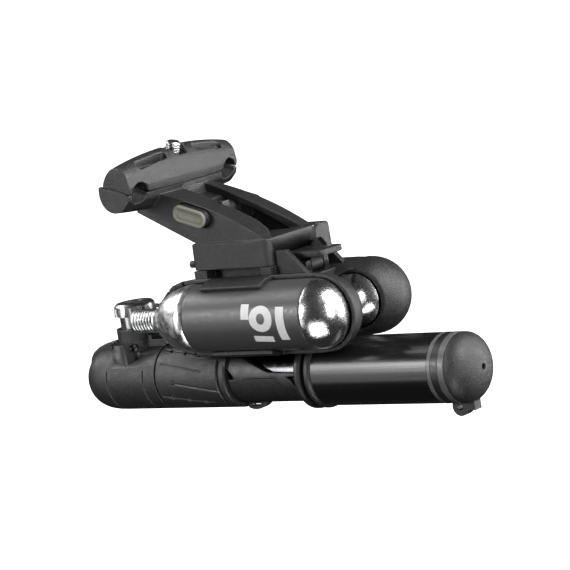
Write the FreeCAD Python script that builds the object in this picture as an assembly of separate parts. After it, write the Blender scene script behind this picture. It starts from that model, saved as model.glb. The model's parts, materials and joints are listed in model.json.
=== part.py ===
"""Hand pump with two gas cartridges, carried under a bicycle saddle on a rail clamp.

Millimetres. The origin is the centre of the rail clamp, midway between the two saddle rails.
+X runs along the pump towards its domed handle, +Z is up, and the object is nearly symmetric
about the plane Y = 0.
"""
import FreeCAD
import Part
import math
import os

V = FreeCAD.Vector
X_DIR = V(1, 0, 0)
Y_DIR = V(0, 1, 0)
Z_DIR = V(0, 0, 1)

# Saddle-rail clamp
RAIL_R = 3.5            # standard 7 mm saddle rail
RAIL_Y = 22.0           # standard 44 mm rail spacing
CLAMP_PITCH = 17.6      # nose-down tilt of the clamp, degrees
CLAMP_HALF = 27.0       # half the clamp's length
CLAMP_GAP = 0.22        # half the gap between the two jaws
BOLT_R = 2.4
BOLT_TIP = 12.0         # how far the bolt stands above the parting plane
BOLT_HEAD_R = 4.2
BOLT_HEAD_TOP = -5.0
BOLT_HEAD_BOTTOM = -9.8
NUT_BOTTOM = 4.3
NUT_TOP = 8.3
NUT_FLATS = 8.0
FIT = 0.05              # radial running clearance

# Arm and its slide-in socket
ARM_HALF = 12.1
BASE_HALF = 12.6
WALL = 1.8
BASE_TOP = -20.4
BASE_BOTTOM = -28.8
BASE_LEFT = 14.0
BASE_RIGHT = 45.3
BASE_CORNER = 2.2
BASE_EDGE_R = 0.45
SOCKET_TOP = -26.3
SOCKET_TOP_HALF = 7.8
SOCKET_BOTTOM_HALF = 6.2
SOCKET_LEFT = 17.0
SLIDE_GAP = 0.35
GUSSET_Y = 9.0
GUSSET_THICK = 1.8

# Release lever
LEVER_X = 52.0
LEVER_Z = -31.0
LEVER_HALF = 6.1
LEVER_EAR_HALF = 3.0
LEVER_PIN_R = 1.0

# Side buttons
BUTTON_X = 17.5
BUTTON_Z = -11.3
BUTTON_LENGTH = 13.2
BUTTON_HEIGHT = 5.6
BUTTON_FACE = 15.0
BUTTON_INNER = 10.6
PLUNGER_Z = -12.4
PLUNGER_R = 1.6
PLUNGER_END = 6.6

# Gas cartridges
CART_Y = 12.93
CART_Z = -44.1
CART_R = 11.0
CART_TIP = -13.7
DOME_START = 62.3
DOME_LENGTH = 11.0
LABEL_START = 14.9
CRADLE_R = 12.5
CRADLE_IN_R = 11.1
CRADLE_BALL_R = 12.2     # ball that forms the shell's closed end
CRADLE_BALL_X = 63.0
WINDOW_R = 10.0
WINDOW_X = 63.6
WINDOW_DEPTH = 5.7

# Pump
PUMP_Z = -65.06
PUMP_R = 10.8
HEAD_END = -47.1
HEAD_RIGHT = -12.8
GRIP_RIGHT = 13.8
GRIP_RING_RIGHT = 17.1
BARREL_R = 8.0
BARREL_IN_R = 7.0
BARREL_LEFT = -16.8
BARREL_RIGHT = 92.0
GLAND_LEFT = 86.0
ROD_R = 2.5
PISTON_LEFT = -9.0
PISTON_RIGHT = -3.0
HANDLE_LEFT = 49.4
TUBE_LEFT = 52.2
TUBE_RIGHT = 96.6
BAND_LEFT = 97.9
BAND_RIGHT = 100.6
CAP_LEFT = 102.7
CAP_RIGHT = 110.1
TUBE_IN_R = 9.6
CLIP_LEFT = 17.4
CLIP_RIGHT = 45.3
CLIP_R = 9.3
RING_LEFT = 45.7
RING_RIGHT = 48.1
RING_R = 11.6
CHUCK_X = -25.5
COLLAR_R = 7.2
COLLAR_TOP = -48.2
COLLAR_FOOT = -52.5
STEM_R = 5.5
TAIL_R = 3.2
KNOB_R = 7.1
KNOB_BOTTOM = -44.0
KNOB_TOP = -39.9
SCREW_X = -22.7
SCREW_HEAD_R = 1.3
BOSS_R = 5.4
BOSS_X = -27.3
SCREW_Z = -54.3
LOCK_X = -34.4
LOCK_Z = -53.9
LOCK_HALF = 2.9
LOCK_PIN_R = 0.8
VALVE_R = 3.05          # takes a 6 mm valve stem


# ---- basic solids ---------------------------------------------------------------------------
def box(x0, x1, y0, y1, z0, z1):
    return Part.makeBox(x1 - x0, y1 - y0, z1 - z0, V(x0, y0, z0))


def rod_x(r, x0, x1, y=0.0, z=0.0):
    return Part.makeCylinder(r, x1 - x0, V(x0, y, z), X_DIR)


def rod_y(r, y0, y1, x=0.0, z=0.0):
    return Part.makeCylinder(r, y1 - y0, V(x, y0, z), Y_DIR)


def rod_z(r, z0, z1, x=0.0, y=0.0):
    return Part.makeCylinder(r, z1 - z0, V(x, y, z0), Z_DIR)


def pipe_x(r_out, r_in, x0, x1, y=0.0, z=0.0):
    return rod_x(r_out, x0, x1, y, z).cut(rod_x(r_in, x0 - 1, x1 + 1, y, z))


def pipe_z(r_out, r_in, z0, z1):
    return rod_z(r_out, z0, z1).cut(rod_z(r_in, z0 - 1, z1 + 1))


def prism_y(points, y0, y1):
    """A closed outline in the XZ plane, given a thickness along Y."""
    wire = Part.makePolygon([V(x, y0, z) for x, z in points] + [V(points[0][0], y0, points[0][1])])
    return Part.Face(wire).extrude(V(0, y1 - y0, 0))


def prism_x(points, x0, x1):
    """A closed outline in the YZ plane, given a length along X."""
    wire = Part.makePolygon([V(x0, y, z) for y, z in points] + [V(x0, points[0][0], points[0][1])])
    return Part.Face(wire).extrude(V(x1 - x0, 0, 0))


def prism_z(points, z0, z1):
    """A closed outline in the XY plane, given a height along Z."""
    wire = Part.makePolygon([V(x, y, z0) for x, y in points] + [V(points[0][0], points[0][1], z0)])
    return Part.Face(wire).extrude(V(0, 0, z1 - z0))


def turned_x(profile, y=0.0, z=0.0, angle=360.0):
    """Turn an outline of (x, radius) points about an axis along X."""
    points = [V(x, y, z + r) for x, r in profile]
    wire = Part.makePolygon(points + [points[0]])
    return Part.Face(wire).revolve(V(0, y, z), X_DIR, angle)


def dome_profile(x0, length, radius, steps=14):
    """Points of a quarter ellipse from the rim at x0 to the tip; a negative length points to -X."""
    points = []
    for step in range(steps + 1):
        turn = math.radians(90.0 * step / steps)
        points.append((x0 + length * math.sin(turn), radius * math.cos(turn)))
    points[-1] = (x0 + length, 0.0)
    return points


def blunt_profile(x0, length, radius, power, steps=14):
    """Like dome_profile, but squarer or more pointed: a power of 2 is an ellipse."""
    points = []
    for x, r in dome_profile(0.0, 1.0, 1.0, steps):
        points.append((x0 + length * x ** (2 / power), radius * max(r, 0.0) ** (2 / power)))
    points[-1] = (x0 + length, 0.0)
    return points


def stadium_y(length, height, y0, y1, x, z, pitch):
    """A round-ended bar along Y, tilted nose-down by pitch about its centre."""
    half = (length - height) / 2
    top = height / 2
    lines = [
        Part.LineSegment(V(-half, 0, top), V(half, 0, top)).toShape(),
        Part.Arc(V(half, 0, top), V(half + top, 0, 0), V(half, 0, -top)).toShape(),
        Part.LineSegment(V(half, 0, -top), V(-half, 0, -top)).toShape(),
        Part.Arc(V(-half, 0, -top), V(-half - top, 0, 0), V(-half, 0, top)).toShape(),
    ]
    solid = Part.Face(Part.Wire(lines)).extrude(V(0, y1 - y0, 0))
    solid.rotate(V(0, 0, 0), Y_DIR, pitch)
    solid.translate(V(x, y0, z))
    return solid


def hexagon(flats, x, y, z0, z1):
    """A hexagonal prism with two corners on the Y axis."""
    corner = flats / math.sqrt(3)
    angles = [math.radians(30 + 60 * k) for k in range(6)]
    points = [V(x + corner * math.cos(a), y + corner * math.sin(a), z0) for a in angles]
    return Part.Face(Part.makePolygon(points + [points[0]])).extrude(V(0, 0, z1 - z0))


def mirrored(shape):
    return shape.mirror(V(0, 0, 0), Y_DIR)


def pitched(shape):
    """Turn a shape from the clamp's own level frame to its pitch about the Y axis."""
    shape = shape.copy()
    shape.rotate(V(0, 0, 0), Y_DIR, CLAMP_PITCH)
    return shape


def save(name, *solids):
    shape = solids[0] if len(solids) == 1 else Part.makeCompound(list(solids))
    shape.exportStep("parts/" + name + ".step")
    volumes = [s.Volume for s in shape.Solids]
    print(name, len(volumes), "solids", round(sum(volumes), 1), "mm3", "valid", shape.isValid())


# ---- rail clamp -----------------------------------------------------------------------------
def jaw(side, half_width, depth, centre):
    """One clamp jaw: half-oval sections, fuller in the middle. side is +1 above, -1 below."""
    wires = []
    for share in (-1.0, -0.5, 0.0, 0.5, 1.0):
        swell = 1 - share * share
        a = half_width[0] + (half_width[1] - half_width[0]) * swell
        b = depth[0] + (depth[1] - depth[0]) * swell
        y = share * CLAMP_HALF
        flat = side * CLAMP_GAP
        left = V(centre - a, y, flat)
        right = V(centre + a, y, flat)
        arc = [left]
        for step in range(1, 8):
            turn = math.pi * (1 - step / 8)
            arc.append(V(centre + a * math.cos(turn), y, flat + side * b * math.sin(turn)))
        arc.append(right)
        curve = Part.BSplineCurve()
        curve.interpolate(arc, InitialTangent=V(0, 0, side), FinalTangent=V(0, 0, -side))
        wires.append(Part.Wire([curve.toShape(), Part.LineSegment(right, left).toShape()]))
    body = Part.makeLoft(wires, True, False)
    for rail_side in (-1, 1):
        body = body.cut(rod_x(RAIL_R, -20, 20, rail_side * RAIL_Y, 0))
    return body


def clamp_top_bar():
    bar = jaw(1, (5.5, 7.5), (7.4, 10.3), 0.0)
    for side in (-1, 1):
        slot = rod_z(1.25, 6.6, 12, 2.6, side * 8.25)
        slot = slot.fuse(rod_z(1.25, 6.6, 12, 2.6, side * 19.25))
        low = min(side * 8.25, side * 19.25)
        slot = slot.fuse(box(1.35, 3.85, low, low + 11.0, 6.6, 12))
        bar = bar.cut(slot)
    bar = bar.cut(hexagon(NUT_FLATS, 0, 0, NUT_BOTTOM, 14))
    return pitched(bar.cut(rod_z(BOLT_R + 0.3, -2, 14)))


def clamp_nut():
    nut = hexagon(NUT_FLATS, 0, 0, NUT_BOTTOM, NUT_TOP)
    cone = Part.makeCone(6.2, 3.9, 4.0, V(0, 0, NUT_BOTTOM), Z_DIR)
    nut = nut.common(cone.fuse(rod_z(6.2, NUT_BOTTOM, NUT_BOTTOM + 2.6)))
    return pitched(nut.cut(rod_z(BOLT_R + FIT, 0, 14)))


def clamp_bolt():
    """Socket-head bolt; the thread that shows above the nut is a row of plain grooves."""
    body = rod_z(BOLT_R, BOLT_HEAD_TOP, BOLT_TIP - 0.5)
    for turn in range(4):
        z = NUT_TOP + 0.6 + 0.8 * turn
        body = body.cut(pipe_z(BOLT_R + 1, BOLT_R - 0.3, z, z + 0.35))
    tip = Part.makeCone(BOLT_R, BOLT_R - 0.5, 0.5, V(0, 0, BOLT_TIP - 0.5), Z_DIR)
    head = rod_z(BOLT_HEAD_R, BOLT_HEAD_BOTTOM, BOLT_HEAD_TOP)
    socket = hexagon(4.0, 0, 0, BOLT_HEAD_BOTTOM - 1, BOLT_HEAD_BOTTOM + 2.6)
    return pitched(body.fuse(tip).fuse(head).cut(socket).removeSplitter())


def clamp_washer():
    return pitched(pipe_z(4.4, BOLT_R + 0.3, BOLT_HEAD_TOP + 0.05, BOLT_HEAD_TOP + 0.95))


# ---- arm and socket -------------------------------------------------------------------------
def arm_outline(top, low, y0, y1):
    """Side outline of the arm: a curved back through three points over a straight-sided belly."""
    start, middle, end = [V(x, y0, z) for x, z in top]
    edges = [Part.Arc(start, middle, end).toShape()]
    corners = [end] + [V(x, y0, z) for x, z in low] + [start]
    for a, b in zip(corners, corners[1:]):
        edges.append(Part.LineSegment(a, b).toShape())
    return Part.Face(Part.Wire(edges)).extrude(V(0, y1 - y0, 0))


def rounded_block(x0, x1, half, z0, z1, corner_left, corner_right):
    block = box(x0, x1, -half, half, z0, z1)
    for x, inward, r in ((x0, 1, corner_left), (x1, -1, corner_right)):
        for side in (-1, 1):
            cx = x + inward * r
            cy = side * (half - r)
            lump = box(min(x, cx), max(x, cx), min(cy, side * half), max(cy, side * half), z0, z1)
            block = block.cut(lump.cut(rod_z(r, z0, z1, cx, cy)))
    return block


def socket_cutter(grow, x0, x1, z0, z1):
    """The dovetail section shared by the socket and the carrier's tenon."""
    top = SOCKET_TOP_HALF - grow
    bottom = SOCKET_BOTTOM_HALF - grow
    return prism_x([(-bottom, z0), (bottom, z0), (top, z1), (-top, z1)], x0, x1)


def arm_bracket():
    """Lower jaw, hollow arm with its open top slot, and the base with the dovetail socket."""
    back = [(1.95, -3.1), (24.0, -9.75), (44.3, BASE_TOP)]
    belly = [(44.3, -23.5), (18.0, -23.5), (16.4, -20.3), (3.15, -13.7), (-6.0, -9.0), (-4.0, -3.0)]
    arm = arm_outline(back, belly, -ARM_HALF, ARM_HALF)
    inner_back = [(13.2, -8.4), (24.5, -12.0), (39.2, -20.2)]
    inner_belly = [(39.2, BASE_TOP), (19.0, BASE_TOP), (17.4, -18.8), (13.2, -16.6)]
    hollow = arm_outline(inner_back, inner_belly, WALL - ARM_HALF, ARM_HALF - WALL)
    base = rounded_block(BASE_LEFT, BASE_RIGHT, BASE_HALF, BASE_BOTTOM, BASE_TOP, 1.5, BASE_CORNER)
    lean = prism_y([(10, -29), (BASE_LEFT, -29), (BASE_LEFT + 1.1, BASE_TOP + 1),
                    (10, BASE_TOP + 1)], -20, 20)
    top_edges = [e for e in base.Edges if e.BoundBox.ZMin > BASE_TOP - 0.01]
    base = base.makeFillet(BASE_EDGE_R, top_edges).cut(lean)
    body = arm.fuse(base).fuse(pitched(jaw(-1, (6.2, 7.0), (6.9, 8.6), -0.8)))
    body = body.cut(hollow)
    slot = prism_z([(4.6, -1.3), (14.6, -3.0), (24.5, -4.4), (36.4, -4.0), (40.5, -5.2),
                    (43.3, -7.2), (46.0, -10.2), (46.0, 8.0), (44.5, 8.0), (32.2, 6.0), (20.4, 6.0),
                    (5.9, 8.7)], BASE_TOP, -2)
    shallow_end = 13.2
    under_shallow = prism_y([(0, -5.4), (shallow_end, -8.4), (shallow_end, -30), (0, -30)], -12, 12)
    body = body.cut(slot.cut(under_shallow).cut(box(0, 18.5, -10, 10, -21, -13.4)))
    body = body.fuse(box(20.4, 23.6, -4.6, -1.4, -10.4, -8.7))
    body = body.cut(socket_cutter(0, SOCKET_LEFT, BASE_RIGHT + 1, BASE_BOTTOM - 0.01, SOCKET_TOP))
    body = body.fuse(rod_y(PLUNGER_R + 1.0, -11, 11, BUTTON_X, PLUNGER_Z))
    for side in (-1, 1):
        pocket = stadium_y(BUTTON_LENGTH + 3, BUTTON_HEIGHT + 3, 7.7, 11, BUTTON_X, BUTTON_Z,
                           CLAMP_PITCH)
        body = body.fuse((pocket if side > 0 else mirrored(pocket)).common(arm))
        hole = stadium_y(BUTTON_LENGTH + 0.8, BUTTON_HEIGHT + 0.8, 8.9, 16, BUTTON_X, BUTTON_Z,
                         CLAMP_PITCH)
        body = body.cut(hole if side > 0 else mirrored(hole))
        body = body.fuse(rod_x(1.15, 12.2, 16.0, side * 11.0, -27.0))
        body = body.cut(pitched(rod_x(RAIL_R, -20, 12, side * RAIL_Y, 0)))
    body = body.cut(rod_y(PLUNGER_R + FIT, -12, 12, BUTTON_X, PLUNGER_Z))
    bore = rod_z(BOLT_R + 0.3, -20, 4).fuse(rod_z(4.6, -20, BOLT_HEAD_TOP + 0.95))
    body = body.cut(pitched(box(-12, 12, -30, 30, -CLAMP_GAP, 3)))
    for y0, y1 in ((-26.6, -25.8), (-17.8, 17.8), (25.8, 26.6)):
        body = body.fuse(pitched(box(-3.5, 3.5, y0, y1, -2.0, CLAMP_GAP - 0.08)))
    return body.cut(pitched(bore)).removeSplitter()


def side_button():
    """The button on the +Y side: a dished pad outside and a plunger inside."""
    pad = stadium_y(BUTTON_LENGTH, BUTTON_HEIGHT, BUTTON_INNER, BUTTON_FACE, BUTTON_X, BUTTON_Z,
                    CLAMP_PITCH)
    dish = stadium_y(10.6, 3.6, BUTTON_FACE - 1.0, 16, BUTTON_X, BUTTON_Z, CLAMP_PITCH)
    plunger = rod_y(PLUNGER_R, PLUNGER_END, BUTTON_INNER + 1, BUTTON_X, PLUNGER_Z)
    return pad.fuse(plunger).cut(dish)


def button_spring():
    """A coil spring between the two plungers, drawn as rings joined by a thin sleeve."""
    coils = 9
    coil_r = 1.0
    wire_r = 0.28
    spring = rod_y(coil_r - 0.1, -PLUNGER_END, PLUNGER_END, BUTTON_X, PLUNGER_Z)
    spring = spring.cut(rod_y(coil_r - 0.25, -PLUNGER_END - 1, PLUNGER_END + 1, BUTTON_X, PLUNGER_Z))
    pitch = (2 * PLUNGER_END - 2 * wire_r - 0.1) / (coils - 1)
    for turn in range(coils):
        y = wire_r + 0.05 - PLUNGER_END + pitch * turn
        spring = spring.fuse(Part.makeTorus(coil_r, wire_r, V(BUTTON_X, y, PLUNGER_Z), Y_DIR))
    return spring.removeSplitter()


# ---- carrier --------------------------------------------------------------------------------
def pump_room(x0, x1, r):
    """A clearance cylinder round the pump's axis."""
    return rod_x(r, x0, x1, 0, PUMP_Z)


def carrier_frame():
    """Spine between the two cradles, with the dovetail tenon, corner legs and end gussets."""
    top = BASE_BOTTOM - 0.3
    tenon_end = BASE_RIGHT - 1.0
    tenon = socket_cutter(SLIDE_GAP, SOCKET_LEFT + 0.6, tenon_end, top, SOCKET_TOP - SLIDE_GAP)
    neck = box(SOCKET_LEFT + 0.6, tenon_end, -8.2, 8.2, -34.0, top)
    spine = box(12.0, 56.0, -5.6, 5.6, -57.5, -33.4)
    frame = tenon.fuse(neck).fuse(spine)
    for x0, x1 in ((BASE_LEFT, 19.0), (41.2, BASE_RIGHT - 0.3)):
        frame = frame.fuse(box(x0, x1, -BASE_HALF, BASE_HALF, -36.0, top))
    foot = BASE_RIGHT + SLIDE_GAP
    gusset = [(foot, -24.6), (50.0, -24.6), (58.6, -34.0), (58.6, -38.0), (foot - 1.0, -38.0),
              (foot - 1.0, top), (foot, top)]
    for side in (-1, 1):
        web = prism_y(gusset, -GUSSET_THICK / 2, GUSSET_THICK / 2)
        web.translate(V(0, side * GUSSET_Y, 0))
        frame = frame.fuse(web)
        lug = box(50.2, 53.8, LEVER_EAR_HALF + 0.4, 5.6, -34.0, LEVER_Z + 1.8)
        frame = frame.fuse(lug if side > 0 else mirrored(lug))
        frame = frame.cut(rod_x(CRADLE_R, -20, 90, side * CART_Y, CART_Z))
    frame = frame.cut(rod_y(2.4, -LEVER_EAR_HALF - 0.4, LEVER_EAR_HALF + 0.4, LEVER_X, LEVER_Z))
    frame = frame.cut(rod_y(LEVER_PIN_R, -4.8, 4.8, LEVER_X, LEVER_Z))
    frame = frame.cut(pump_room(0, CLIP_LEFT, PUMP_R + 0.4))
    frame = frame.cut(pump_room(CLIP_LEFT, CLIP_RIGHT, BARREL_R + 2))
    return frame.cut(pump_room(CLIP_RIGHT, 90, 12.3)).removeSplitter()


def release_lever():
    """Thumb latch behind the socket: a flat tab, an upright thumb plate with a lip, a pivot."""
    tab = rounded_block(46.2, 60.5, LEVER_HALF, -28.0, -26.1, 0.6, 2.2)
    plate = prism_x([(3.6, -26.5), (3.6, -18.9), (2.9, -18.2), (-1.2, -18.3), (-2.8, -19.2),
                     (-3.7, -20.7), (-3.7, -22.6), (-1.4, -22.6), (1.0, -25.3), (1.0, -26.5)],
                    56.0, 57.9)
    lip = prism_z([(57.9, -1.2), (57.9, 2.9), (56.6, 3.6), (48.2, 3.6), (50.6, 0.5)], -18.9, -18.2)
    rib = prism_y([(50.4, -26.5), (56.2, -26.5), (56.2, -19.8)], 1.0, 2.4)
    ears = prism_y([(49.6, -26.5), (54.4, -26.5), (53.6, -31.0), (50.4, -31.0)],
                   -LEVER_EAR_HALF, LEVER_EAR_HALF)
    knuckle = rod_y(1.9, -LEVER_EAR_HALF, LEVER_EAR_HALF, LEVER_X, LEVER_Z)
    lever = tab.fuse(plate).fuse(lip).fuse(rib).fuse(ears).fuse(knuckle)
    return lever.cut(rod_y(LEVER_PIN_R + FIT, -8, 8, LEVER_X, LEVER_Z)).removeSplitter()


def lever_pin():
    return rod_y(LEVER_PIN_R, -4.8, 4.8, LEVER_X, LEVER_Z)


def cradle(ball_reach):
    """Half shell round the inner half of the +Y cartridge, with a ball-shaped closed end.

    ball_reach says how far past the cartridge's middle the ball-shaped end goes round it.
    """
    outer = [(-5.1, 5.7), (-3.6, 5.0), (-1.65, 6.2), (2.1, 9.6), (4.1, 10.9), (8.3, 12.1),
             (12.0, CRADLE_R), (DOME_START - 2.0, CRADLE_R)]
    outer += dome_profile(CRADLE_BALL_X, CRADLE_BALL_R, CRADLE_BALL_R)
    inner = dome_profile(DOME_START, CRADLE_BALL_X + CRADLE_BALL_R - DOME_START - 1.3, CRADLE_IN_R)
    inner = list(reversed(inner)) + [(12.3, CRADLE_IN_R), (8.2, 10.65), (4.9, 9.6), (1.7, 7.85),
                                     (-0.4, 5.75), (-3.0, 4.2), (-5.1, 4.2)]
    shell = turned_x(outer + inner, CART_Y, CART_Z)
    keep = box(-10, 80, -1, CART_Y, -60, -28)
    keep = keep.fuse(box(DOME_START, 80, -1, CART_Y + ball_reach, -60, -28))
    lip = turned_x([(20.7, CRADLE_R), (45.3, CRADLE_R), (45.3, CRADLE_IN_R), (20.7, CRADLE_IN_R)],
                   CART_Y, CART_Z)
    top_reach = math.radians(56)
    low_reach = math.radians(60)
    for reach, side in ((top_reach, 1), (low_reach, -1)):
        y_edge = CART_Y + CRADLE_R * math.cos(reach)
        z_edge = CART_Z + side * CRADLE_R * math.sin(reach)
        wedge = prism_x([(CART_Y - 0.1, CART_Z), (y_edge + 4 * math.cos(reach), z_edge + side * 4),
                         (CART_Y - 0.1, z_edge + side * 8)], 0, 80)
        keep = keep.fuse(wedge.common(lip))
    half = shell.common(keep)
    for side in (-1, 1):
        z = CART_Z + side * CRADLE_R
        for x in (2.0, 8.8):
            half = half.cut(box(x - 0.3, x + 0.3, CART_Y - 4, CART_Y + 1, z - 5, z + 5))
    window = rod_y(WINDOW_R, -1, WINDOW_DEPTH, WINDOW_X, CART_Z)
    return half.cut(window).removeSplitter()


def cartridge_shell():
    """Steel pressure vessel with a threaded neck, lying along X on the +Y side."""
    wall = 1.6
    thread_r = 3.85
    profile = [(CART_TIP, 0.0), (CART_TIP, 3.1), (CART_TIP + 0.7, thread_r)]
    turns = 8
    pitch = 1.25
    for turn in range(turns):
        x = CART_TIP + 0.7 + pitch * turn
        profile += [(x + 0.25, thread_r), (x + 0.55, 3.35), (x + 0.85, 3.35), (x + 1.15, thread_r)]
    profile += [(-2.5, thread_r), (-0.2, 5.6), (1.8, 7.6), (4.9, 9.3), (8.3, 10.4), (12.3, CART_R),
                (LABEL_START, CART_R), (LABEL_START, CART_R - 0.15),
                (DOME_START, CART_R - 0.15), (DOME_START, CART_R)]
    profile += dome_profile(DOME_START, DOME_LENGTH, CART_R)[1:]
    vessel = turned_x(profile, CART_Y, CART_Z)
    inside = [(-2.0, 0.0), (-2.0, 2.2), (1.0, 5.0), (5.0, 7.8), (9.0, 8.9), (13.0, CART_R - wall)]
    inside += dome_profile(DOME_START, DOME_LENGTH - wall, CART_R - wall)
    vessel = vessel.cut(turned_x(inside, CART_Y, CART_Z))
    mouth = rod_x(1.8, CART_TIP - 1, -1.0, CART_Y, CART_Z)
    mouth = mouth.fuse(rod_x(2.6, CART_TIP - 1, CART_TIP + 0.8, CART_Y, CART_Z))
    return vessel.cut(mouth)


def cartridge_seal():
    """Thin cap pressed into the neck, which the inflator pierces."""
    cap = rod_x(2.6, CART_TIP + 0.1, CART_TIP + 0.8, CART_Y, CART_Z)
    plug = rod_x(1.8, CART_TIP + 0.8, CART_TIP + 3.0, CART_Y, CART_Z)
    return cap.fuse(plug).removeSplitter()


def label_band():
    return pipe_x(CART_R, CART_R - 0.15, LABEL_START, DOME_START, CART_Y, CART_Z)


def pump_clip(spine):
    """Open ring that the pump barrel snaps into, with a strap eye below."""
    ring = pipe_x(CLIP_R, BARREL_R + FIT, CLIP_LEFT, CLIP_RIGHT, 0, PUMP_Z)
    mouth = prism_x([(0, PUMP_Z), (-20, PUMP_Z), (-20, PUMP_Z + 20), (-3.2, PUMP_Z + 20)],
                    CLIP_LEFT - 1, CLIP_RIGHT + 1)
    ring = ring.cut(mouth)
    foot = box(CLIP_LEFT, CLIP_RIGHT, -2.6, 2.6, PUMP_Z + 7.0, PUMP_Z + 10.3)
    eye = rod_y(7.2, -1.4, 1.4, 20.4, PUMP_Z - 4.4)
    eye = eye.common(box(13.0, 28.0, -1.4, 1.4, PUMP_Z - 12, PUMP_Z - 8.5))
    hole = box(18.2, 22.6, -2, 2, PUMP_Z - 10.5, PUMP_Z - 9.7)
    body = ring.fuse(foot).fuse(eye).cut(hole)
    for side in (-1, 1):
        body = body.cut(rod_x(CRADLE_R, -20, 90, side * CART_Y, CART_Z))
    body = body.cut(pump_room(0, 90, BARREL_R + FIT)).cut(pump_room(0, CLIP_LEFT, PUMP_R + 0.3))
    return body.cut(spine).removeSplitter()


def rubber_strap():
    """Stretchy retaining ring, with a flat pull tab over the clip's mouth and a band that joins them."""
    ring = turned_x([(RING_LEFT, BARREL_R + 0.1), (RING_RIGHT, BARREL_R + 0.1),
                     (RING_RIGHT, RING_R - 0.7), (RING_RIGHT - 0.6, RING_R),
                     (RING_LEFT + 0.6, RING_R), (RING_LEFT, RING_R - 0.7)], 0, PUMP_Z)
    skin = pipe_x(CLIP_R + 1.5, CLIP_R + FIT, CLIP_LEFT, RING_RIGHT - 1, 0, PUMP_Z)
    skin = skin.fuse(pipe_x(PUMP_R + 1.1, PUMP_R + 0.15, 13, CLIP_LEFT + 1, 0, PUMP_Z))
    skin = skin.fuse(pipe_x(PUMP_R + 1.1, CLIP_R + FIT, CLIP_LEFT, CLIP_LEFT + 1, 0, PUMP_Z))
    tab = prism_y([(14.0, 7.6), (24.5, 6.6), (35.0, 2.3), (47.0, 1.8), (47.0, 0.9), (21.2, 0.9),
                   (17.6, 4.8)], -14, -2)
    band = prism_y([(36.5, 1.9), (40.5, 1.9), (44.0, -0.3), (47.4, -5.6), (47.4, -9.6), (44.6, -7.4),
                    (41.2, -3.4), (38.6, 0.4)], -14, -2)
    tab = tab.fuse(band)
    tab.translate(V(0, 0, PUMP_Z))
    return ring.fuse(skin.common(tab)).removeSplitter()


# ---- pump -----------------------------------------------------------------------------------
def pump_head():
    """Moulded head with a blunt rounded end, an upright boss for the chuck and a ledge behind it."""
    end = -33.7
    profile = [(HEAD_RIGHT, 0.0), (HEAD_RIGHT, PUMP_R)]
    profile += blunt_profile(end, HEAD_END - end, PUMP_R, 2.7)
    head = turned_x(profile, 0, PUMP_Z)
    for x in (end, -17.8):
        groove = pipe_x(PUMP_R + 1, PUMP_R - 0.35, x - 0.25, x + 0.25, 0, PUMP_Z)
        head = head.cut(groove.common(box(-50, 0, -12, 12, PUMP_Z - 12, PUMP_Z + 4)))
    notch = [(-25.6, -59.9), (-12.5, -54.0), (-12.5, -52.0), (-25.6, -52.0)]
    for side in (-1, 1):
        head = head.cut(prism_y(notch, side * 6.0 - 6.0, side * 6.0 + 6.0)
                        .cut(box(-30, 0, -6.0, 6.0, -62, -50)))
    boss = rod_z(BOSS_R, PUMP_Z, COLLAR_FOOT - 0.3, BOSS_X, 3.8)
    boss = boss.fuse(rod_z(BOSS_R, PUMP_Z, COLLAR_FOOT - 0.3, BOSS_X, -3.8))
    collar = rod_z(COLLAR_R, COLLAR_FOOT, COLLAR_TOP, CHUCK_X, 0)
    collar = collar.common(box(-50, 0, 0.2 - COLLAR_R, COLLAR_R - 0.2, -60, -40))
    seat = rod_z(COLLAR_R - 0.4, PUMP_Z, COLLAR_FOOT + 0.5, CHUCK_X, 0)
    ledge = box(CHUCK_X, -12.0, -3.0, 3.0, -54.5, -52.2).fuse(box(-21.2, -17.7, -3.0, 3.0, -53, -50.8))
    head = head.fuse(boss).fuse(seat).fuse(collar).fuse(ledge)
    room = [(LOCK_X, -56.4), (-37.4, -56.4), (-41.0, -57.3), (-43.2, -58.7), (-44.0, -60.4),
            (-48.5, -60.4), (-48.5, -50.0), (LOCK_X, -50.0)]
    head = head.cut(prism_y(room, -LOCK_HALF - 0.4, LOCK_HALF + 0.4))
    head = head.cut(rod_y(2.2, -LOCK_HALF - 0.4, LOCK_HALF + 0.4, LOCK_X, LOCK_Z))
    head = head.cut(rod_z(TAIL_R, -63.0, COLLAR_TOP + 1, CHUCK_X, 0))
    head = head.cut(rod_y(LOCK_PIN_R, -5.4, 5.4, LOCK_X, LOCK_Z))
    head = head.cut(rod_x(1.6, CHUCK_X, HEAD_RIGHT + 1, 0, PUMP_Z + 1.0))
    head = head.cut(rod_x(BARREL_R, BARREL_LEFT, HEAD_RIGHT + 1, 0, PUMP_Z))
    head = head.cut(rod_x(3.0, -22.0, BARREL_LEFT + 1, 0, PUMP_Z))
    head = head.cut(rod_y(SCREW_HEAD_R + FIT, -9.0, -6.0, SCREW_X, SCREW_Z))
    return head.cut(screw_shank()).removeSplitter()


def lock_lever():
    """Curved thumb strip that lies over the rounded end and swings up about its pin."""
    strip = prism_y([(LOCK_X, -52.3), (-38.6, -53.0), (-42.0, -54.2), (-44.8, -55.9),
                     (-46.4, -57.9), (-46.9, -59.6), (-45.6, -59.4), (-45.0, -58.3),
                     (-43.6, -57.0), (-41.2, -55.8), (-38.2, -55.3), (LOCK_X, -55.3)],
                    -LOCK_HALF, LOCK_HALF)
    knuckle = rod_y(1.6, -LOCK_HALF, LOCK_HALF, LOCK_X, LOCK_Z)
    lever = strip.fuse(knuckle)
    return lever.cut(rod_y(LOCK_PIN_R + FIT, -5, 5, LOCK_X, LOCK_Z)).removeSplitter()


def lock_pin():
    return rod_y(LOCK_PIN_R, -5.4, 5.4, LOCK_X, LOCK_Z)


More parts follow.
